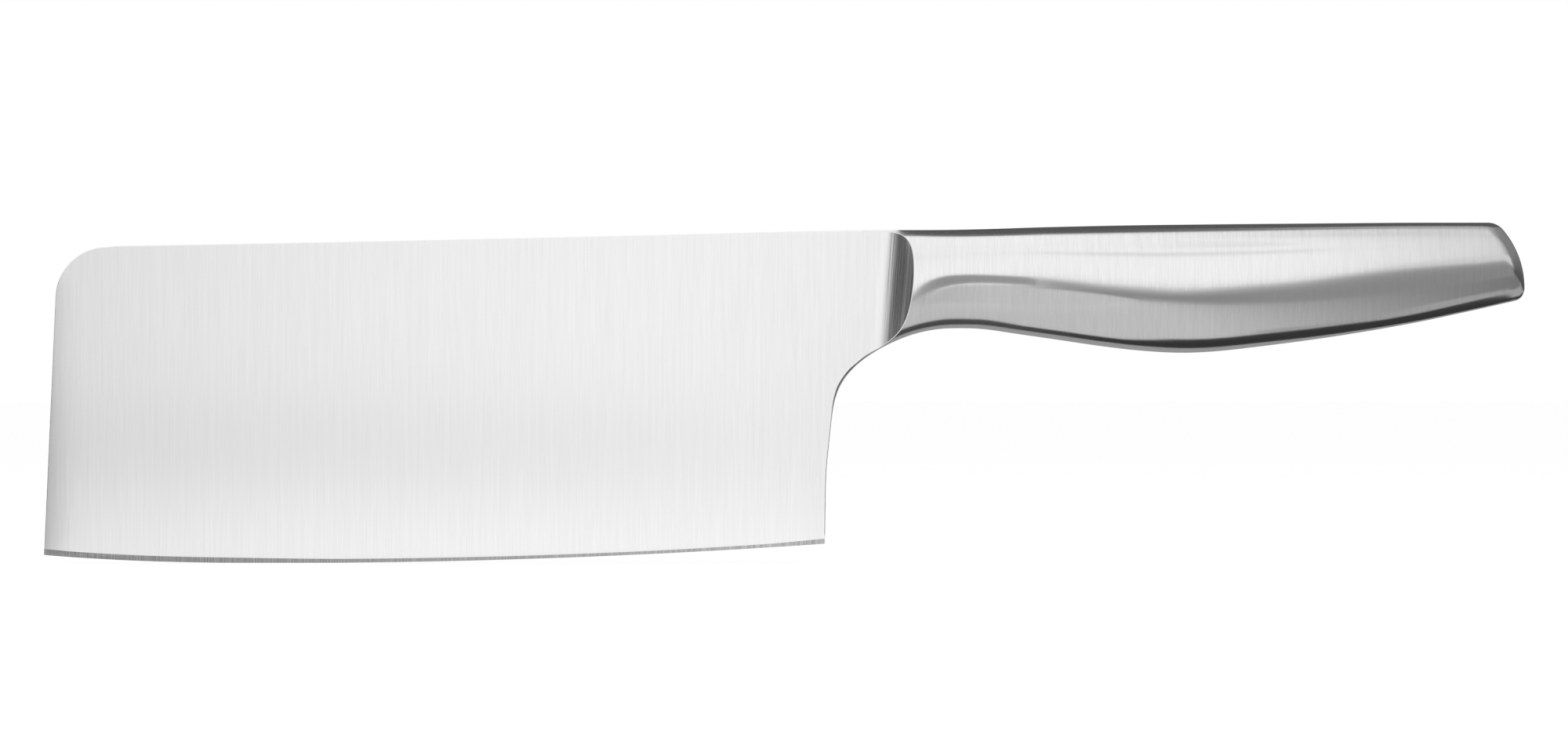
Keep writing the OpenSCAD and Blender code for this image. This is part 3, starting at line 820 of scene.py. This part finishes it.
def steel(name, finish, blur, under=None, fade=None):
    """Ground or brushed stainless steel. A finish is its scratches' spacing, length and lean, its
    two tones, its two roughnesses and its relief. Where there is a fade, the finish comes up out
    of the one under it between two places along the knife."""
    made, tree, out = material(name)

    def looks(across, along, lean_turn, dark, light, dull, bright, relief):
        lines = scratches(tree, across, along, lean_turn)
        polish = mapped(tree, lines, scratch_floor, scratch_top, 0, 1)
        return (blended(tree, polish, linear(dark), linear(light)),
                mapped(tree, lines, scratch_floor, scratch_top, dull, bright),
                mapped(tree, lines, 0, 1, 0, relief))

    base, rough, height = looks(*finish)
    if fade:
        across = add(tree, "VectorMath", {
            0: place_on(tree), 1: (math.cos(hollow_lean), 0, -math.sin(hollow_lean))},
            operation="DOT_PRODUCT")
        share = add(tree, "MapRange", {
            "Value": across.outputs["Value"], "From Min": fade[0] * MM,
            "From Max": fade[1] * MM}, interpolation_type="SMOOTHSTEP").outputs[0]
        base_under, rough_under, height_under = looks(*under)
        base = blended(tree, share, base_under, base)
        rough, height = (
            add(tree, "Mix", {"Factor": share, "A": a, "B": b}).outputs[0]
            for a, b in ((rough_under, rough), (height_under, height)))
    relief = add(tree, "Bump", {
        "Height": height, "Strength": 1.0, "Distance": MM})
    # Reflections are drawn out along the knife, across the scratches. The way there rises a
    # little, so that it lies in no face's normal.
    way = add(tree, "CombineXYZ", {"X": 1.0, "Y": 0.0, "Z": 0.05})
    surface = add(tree, "BsdfPrincipled", {
        "Base Color": base, "Metallic": 1.0, "Roughness": rough, "Anisotropic": blur,
        "Normal": relief.outputs[0], "Tangent": way.outputs[0]})
    tree.links.new(surface.outputs[0], out.inputs[0])
    return made


# Spacing and length of the scratches in metres, lean, tones, roughnesses, relief in millimetres.
# The real scratches are 0.03 to 0.1 mm apart, and are drawn coarser so that they show.
belt_finish = (0.00025, 0.012, 0.0, "#f4f4f4", "#f8f8f8", 0.27, 0.25, 0.0003)
wheel_finish = (0.0004, 0.03, hollow_lean, "#7c7c7c", "#ffffff", 0.26, 0.18, 0.007)
stone_finish = (0.0003, 0.01, 0.0, "#d8d8d8", "#ffffff", 0.26, 0.2, 0.002)
satin_finish = (0.00018, 0.004, 0.0, "#ebebeb", "#f2f2f2", 0.2, 0.18, 0.0003)

# Stainless sheet, belt ground across the blade: pale, with soft reflections
belt_ground = steel("belt_ground_stainless_sheet", belt_finish, 0.3)
# The sharpened edge, fresh from the stone: its lines are coarser than the sheet's
stone_ground = steel("stone_ground_stainless_edge", stone_finish, 0.3)
# Forged bolster, its hollows wheel ground: coarser lines that lean with the hollow and die out
# in the blade's finish between these places, in millimetres
hollow_fade = (16.4, 18.2)
wheel_ground = steel("wheel_ground_stainless_forging", wheel_finish, 0.4, belt_finish, hollow_fade)
# Pressed stainless shells, satin brushed across the grip: bands of light and dark stay clear
satin_brushed = steel("satin_brushed_stainless_pressing", satin_finish, 0.4)
# Weld metal, ground flush and brushed over with the parts that it joins
brushed_weld = steel("brushed_stainless_weld_metal", satin_finish, 0.4)


# Spacing of the resin's grains and breadth of its clouds, in metres
grain_pitch, cloud_breadth = 0.0008, 0.006


def cast_resin():
    """Mineral-filled casting resin: dull, dark, with pale grains of filler 0.4 mm across."""
    made, tree, out = material("cast_filled_resin")
    grains = add(tree, "TexVoronoi", {
        "Vector": place_on(tree), "Scale": 1 / grain_pitch})
    clouds = add(tree, "TexNoise", {
        "Vector": place_on(tree), "Scale": 1 / cloud_breadth, "Detail": 3.0})
    speck = mapped(tree, grains.outputs["Distance"], 0.15, 0.35, 1, 0)
    filler = add(tree, "Math", {0: speck, 1: clouds.outputs[0]}, operation="MULTIPLY")
    base = blended(tree, filler.outputs[0], linear("#3f3c39"), linear("#8a857d"))
    relief = add(tree, "Bump", {
        "Height": grains.outputs["Distance"], "Strength": 0.3, "Distance": 0.0002})
    surface = add(tree, "BsdfPrincipled", {
        "Base Color": base, "Roughness": 0.7, "IOR": 1.52,
        "Normal": relief.outputs[0]})
    tree.links.new(surface.outputs[0], out.inputs[0])
    return made


core_resin = cast_resin()

dressed = [
    (blade, "blade", "blade_steel", [belt_ground, stone_ground]),
    (blade_weld, "blade_weld", "weld_steel", [belt_ground]),
    (bolster, "bolster", "bolster_steel", [wheel_ground, satin_brushed]),
    (ring_weld, "ring_weld", "weld_steel", [brushed_weld]),
    (seam_weld, "seam_weld", "weld_steel", [brushed_weld]),
    (left_shell, "left_handle_shell", "grip_steel", [satin_brushed]),
    (right_shell, "right_handle_shell", "grip_steel", [satin_brushed])]
for made, node, slot, finishes in dressed:
    for finish in finishes:
        made.data.materials.append(finish)
    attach(made, "root")
    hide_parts(node)
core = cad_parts["handle_core"]
for k in range(len(core.data.materials)):
    core.data.materials[k] = core_resin
if not core.data.materials:
    core.data.materials.append(core_resin)

# Camera

# The picture is this many pixels wide and high, with 6 of them to a millimetre, and its middle is
# 39.75 mm above the edge
picture_px, picture_py, px_per_mm = 2000, 959, 6
picture_w, picture_mid_z = picture_px / px_per_mm * MM, 39.75 * MM
lens = bpy.data.cameras.new("camera")
lens.sensor_width, lens.lens = 36, 200
camera = bpy.data.objects.new("camera", lens)
camera.location = (0, -lens.lens / lens.sensor_width * picture_w, picture_mid_z)
camera.rotation_euler = (math.pi / 2, 0, 0)
bpy.context.scene.collection.objects.link(camera)
bpy.context.scene.camera = camera
bpy.context.scene.view_settings.view_transform = "Standard"

# Studio

# The cards are measured in millimetres, as the knife is, and so are the places of their tones.
# The paper's fibres are in metres. To the eye and in the steel it is this bright, and this share
# of that is its own light. The rest is what falls on it, with the knife's shadow.
fibre_breadth, paper_strength, paper_share = 0.002, 1.03, 0.8
floor_half = 12000


def across(y, x0, x1, z0, z1):
    """Corners of an upright card that faces the knife's side."""
    return [(x0, y, z0), (x1, y, z0), (x1, y, z1), (x0, y, z1)]


def endways(x, y0, y1, z0, z1):
    """Corners of an upright card that faces the knife's end."""
    return [(x, y0, z0), (x, y1, z0), (x, y1, z1), (x, y0, z1)]


def level(z, x0, x1, y0, y1):
    """Corners of a level card."""
    return [(x0, y0, z), (x1, y0, z), (x1, y1, z), (x0, y1, z)]


def cut_across(y, outline):
    """Corners of an upright card that is cut to an outline."""
    return [(x, y, z) for x, z in outline]


def cut_level(z, outline):
    """Corners of a level card that is cut to an outline."""
    return [(x, y, z) for x, y in outline]


def card(name, corners, finish):
    """A flat card of the studio from its corners."""
    mesh = bpy.data.meshes.new(name)
    mesh.from_pydata([[c * MM for c in corner] for corner in corners], [],
                     [list(range(len(corners)))])
    mesh.materials.append(finish)
    made = bpy.data.objects.new(name, mesh)
    bpy.context.scene.collection.objects.link(made)
    return made


def shown_at(px, py, card_y):
    """Place on an upright card that the grip's steel shows at a pixel: the eye's ray is followed
    to the grip's form, and on from there to the card."""
    eye = np.array(camera.location) / MM
    way = np.array([(px - picture_px / 2) / px_per_mm, -eye[1], (picture_py / 2 - py) / px_per_mm])
    outside, inside = 1 + card_y / way[1], 1.0
    for _ in range(place_halvings):
        half = (outside + inside) / 2
        if form_level(*(eye + half * way)) < 0:
            inside = half
        else:
            outside = half
    place = eye + half * way
    normal = form_normals(place[None])[0]
    onward = way - 2 * way.dot(normal) * normal
    seen = place + (card_y - place[1]) / onward[1] * onward
    return float(seen[0]), float(seen[2])


def eye_or_gloss(tree):
    """1 for what the eye looks at straight, in steel or through glass, and 0 for other light."""
    path = add(tree, "LightPath")
    seen = add(tree, "Math", {
        0: path.outputs["Is Camera Ray"], 1: path.outputs["Is Glossy Ray"]}, operation="ADD")
    return add(tree, "Math", {
        0: seen.outputs[0], 1: path.outputs["Is Transmission Ray"]},
        operation="ADD", use_clamp=True).outputs[0]


def paper():
    """Pale floor paper: white to the eye and in the steel, with the knife's own soft shadow."""
    made, tree, out = material("white_floor_paper")
    fibres = add(tree, "TexNoise", {
        "Vector": place_on(tree), "Scale": 1 / fibre_breadth, "Detail": 4.0})
    relief = add(tree, "Bump", {
        "Height": fibres.outputs[0], "Strength": 0.05, "Distance": 0.0001})
    lit = add(tree, "BsdfDiffuse", {
        "Color": linear("#f4f4f4"), "Normal": relief.outputs[0]})
    glow = add(tree, "Emission", {"Color": (1, 1, 1, 1), "Strength": paper_strength})
    share = add(tree, "Math", {0: eye_or_gloss(tree), 1: paper_share},
                operation="MULTIPLY")
    both = add(tree, "MixShader", {
        0: share.outputs[0], 1: lit.outputs[0], 2: glow.outputs[0]})
    tree.links.new(both.outputs[0], out.inputs[0])
    return made


def flag_card(name, corners, tones, axis="X"):
    """A card that only the steel sees, as the flags and reflectors round a photographer's table.
    tones are its places along an axis and how bright it is there."""
    finish, tree, out = material(name + "_card")
    parts = add(tree, "SeparateXYZ", {0: place_on(tree)})
    first, last = tones[0][0], max(tones[-1][0], tones[0][0] + 1)
    share = mapped(tree, parts.outputs[axis], first * MM, last * MM, 0, 1)
    ramp = add(tree, "ValToRGB", {0: share})
    stops = ramp.color_ramp.elements
    while len(stops) < len(tones):
        stops.new(1.0)
    for k, stop in enumerate(stops):
        spot, tone = tones[min(k, len(tones) - 1)]
        stop.position, stop.color = (spot - first) / (last - first), (tone, tone, tone, 1)
    glow = add(tree, "Emission", {"Color": ramp.outputs[0], "Strength": 1.0})
    tree.links.new(glow.outputs[0], out.inputs[0])
    made = card(name, corners, finish)
    made.visible_camera = made.visible_diffuse = False
    made.visible_transmission = made.visible_shadow = False


card("floor_paper", level(0, -floor_half, floor_half, -floor_half, floor_half), paper())

# The sharpened edge sees low grey cards along it, beside and under it
edge_card_x, edge_card_y, edge_card_over, edge_card_foot = tip_x - 8, 3, 0.3, 0.1
edge_card_xs = np.linspace(edge_card_x, heel_x, 24)
edge_tones = [(-157, 0.27), (-100, 0.38), (-40, 0.47), (8.8, 0.54)]
beside_edge = [(x, float(edge_z(x) + edge_card_over)) for x in edge_card_xs] + [
    (heel_x, edge_card_foot), (edge_card_x, edge_card_foot)]
under_grip = [(12.5, -20), (35.5, -9.7), (41.7, -7), (67, -4.5), (83, -19.5), (108, -16),
              (133, -10), (140, -3), (150, -4), (166, -8), (172, 12), (180, 50), (250, 90),
              (250, 200), (133, 50), (108, 28), (83, 21), (12.5, 21)]
under_butt = [(110, -30), (140, -20), (150, -36), (166, -34), (172, -20), (185, -14), (250, -6),
              (250, 100), (110, 10)]
overhead = [(-900, 40), (0, 70), (50, 164), (134, 284), (206, 320), (240, 650), (900, 650),
            (900, 1500), (-900, 1500)]
table_end = [(45, 57.5), (62, 51), (86, 48.5), (116, 40), (200, 30), (200, 67), (140.7, 66.5),
             (116, 60.3), (86, 57.3), (62, 59.6), (45, 64.2)]
# The sides of the dark line that the grip shows at its neck, in the photograph's pixels
neck_upper_px = [(1165.8, 373.4), (1173.4, 365.8), (1184.9, 358.2), (1198.2, 353.4),
                 (1213.5, 350.9), (1232.6, 350.2), (1251.6, 350.2), (1270.7, 350.9),
                 (1289.8, 351.9), (1308.8, 353)]
neck_lower_px = [(1162, 386.8), (1171.5, 380.1), (1181.1, 374.4), (1194.4, 368.1),
                 (1213.5, 363.5), (1232.6, 361.4), (1251.6, 360.9), (1270.7, 361.4),
                 (1289.8, 362.6), (1308.8, 363.9)]
neck_card_y = -15
neck_upper = [shown_at(*p, neck_card_y) for p in neck_upper_px]
neck_lower = [shown_at(*p, neck_card_y) for p in neck_lower_px]
neck_line = [(27.3, 51.5), *neck_upper, (52, 61), (52, 58.6), *neck_lower[::-1], (27.6, 46.5)]
neck_grey = [(29.5, 50.5), (31.5, 54.5), (33.5, 56.3), (36, 57.6), (40, 58.3), (44, 58.6),
             (48, 58.5), (52, 58.2), (56, 57.9), (60, 57.5), (65, 56.9), (70, 56.1),
             (75, 55.2), (70, 54.4), (62, 53), (56, 52), (29.5, 47)]
neck_middle = [(mix(a, c, 0.5), mix(b, d, 0.5)) for (a, b), (c, d) in zip(neck_upper, neck_lower)]
neck_white = [(27.4, 49), *neck_middle[:7], (41, 64), (25.5, 64), (25.5, 49)]

cards = [
    # The room falls off to the left, and the floor with it
    ("left_falloff", across(-300, -800, 30, 1, 600),
     [(-800, 0.15), (-340, 0.18), (-280, 0.3), (-220, 0.72), (-165, 0.84), (-126, 0.89),
      (-78, 0.94), (-20, 0.98), (30, 1.0)]),
    ("left_floor_falloff", level(0.6, -800, 0, -300, -3),
     [(-800, 0.08), (-310, 0.3), (-220, 0.76), (-170, 0.87), (-150, 0.91), (-117, 0.96),
      (-72, 1.0), (0, 1.0)]),
    # A small flag right beside the tip, and a large one far off
    ("tip_flag", endways(-158, -30, -3, 1, 60), [(-158, 0.3)]),
    ("left_flag", endways(-2200, -1000, 900, 1, 1600), [(-2200, 0.1)]),
    ("left_edge_card", cut_across(-edge_card_y, beside_edge), edge_tones),
    ("right_edge_card", cut_across(edge_card_y, beside_edge), edge_tones),
    ("under_edge_card", level(0.05, edge_card_x, heel_x, -edge_card_y, edge_card_y), edge_tones),
    # In front of the blade, low down, the room is a little darker
    ("low_haze", across(-100, -170, 9.5, 10, 31),
     [(-165, 0.7), (-150, 0.73), (-114, 0.775), (-71, 0.82), (-18, 0.86), (9.5, 0.97)]),
    # Straight above and behind it is dark down to the floor, but not over the blade's spine
    ("top_flag", cut_level(1200, overhead), [(-900, 0.1)]),
    ("back_flag", across(1500, -900, 900, 1, 1200), [(-900, 0.1)]),
    ("spine_reflector", [(-200, 0, 90), (24.5, 0, 90), (24.5, 120, 1), (-200, 120, 1)],
     [(-200, 0.95)]),
    # Under the grip the floor is dark, with a paler stretch behind it
    ("under_grip_flag", cut_level(1.4, under_grip), [(12.5, 0.07), (45, 0.06), (60, 0.03)]),
    ("behind_grip_flag", level(0.8, 0, 350, 0, 900), [(0, 0.33)]),
    # In front the table is grey, darker to the right but for a patch under the butt
    ("front_floor_flag", level(1, 20, 400, -1250, 10),
     [(30, 0.55), (60, 0.58), (100, 0.57), (170, 0.2)]),
    ("butt_patch", cut_level(1.2, under_butt), [(110, 0.38)]),
    # Where the table ends there is a dark line, which spreads upwards to the right
    ("horizon_strip", cut_across(-60, table_end),
     [(45, 0.14), (62, 0.17), (86, 0.19), (113, 0.27), (140, 0.26)]),
    # At the neck the line turns down to the rim, on small near cards, with grey under it and
    # white over it
    ("neck_line", cut_across(neck_card_y, neck_line),
     [(27.5, 0.36), (30, 0.31), (33, 0.28), (37, 0.29), (52, 0.3)]),
    ("neck_grey", cut_across(-15.3, neck_grey), [(30, 0.5), (36, 0.53), (42, 0.57), (56, 0.57)]),
    ("neck_panel", cut_across(-15.5, neck_white), [(25.5, 1.0)]),
    ("right_haze", cut_across(-61, [(119, 61), (200, 65), (200, 90), (145, 77)]), [(119, 0.7)]),
    # High in front a faint strip, and over the butt a dull panel
    ("high_strip", cut_across(-800, [(-300, 620), (220, 640), (220, 780), (-300, 720)]),
     [(-300, 0.7)]),
    ("butt_panel", level(1000, 180, 900, -750, 600),
     [(180, 0.85), (190, 0.72), (215, 0.6), (260, 0.35), (900, 0.25)]),
    ("butt_haze", across(-100, 123, 330, 66, 450),
     [(123, 1.0), (143.5, 0.86), (156, 0.72), (170, 0.62), (200, 0.45), (240, 0.3), (330, 0.15)]),
    ("right_flag", endways(350, -600, 500, 1, 800),
     [(0, 0.08), (70, 0.1), (150, 0.22), (800, 0.28)], "Z")]
for row in cards:
    flag_card(*row)

# How bright the room is as light, and to the eye and in the steel
room_light, room_seen = 0.9, 1.0
world = bpy.data.worlds.new("studio")
bpy.context.scene.world = world
world.use_nodes = True
sky = world.node_tree
sky.nodes.clear()
light = add(sky, "Background", {
    "Color": (1, 1, 1, 1), "Strength": mapped(sky, eye_or_gloss(sky), 0, 1, room_light, room_seen)})
add(sky, "OutputWorld", {"Surface": light.outputs[0]})

# The softbox stands over and before the knife, and isn't seen in the steel
lamp = bpy.data.lights.new("overhead_softbox", "AREA")
lamp.energy, lamp.size = 8, 1.6
softbox = bpy.data.objects.new("overhead_softbox", lamp)
softbox.location = (0, -0.4, 1.6)
softbox.visible_glossy = False
bpy.context.scene.collection.objects.link(softbox)
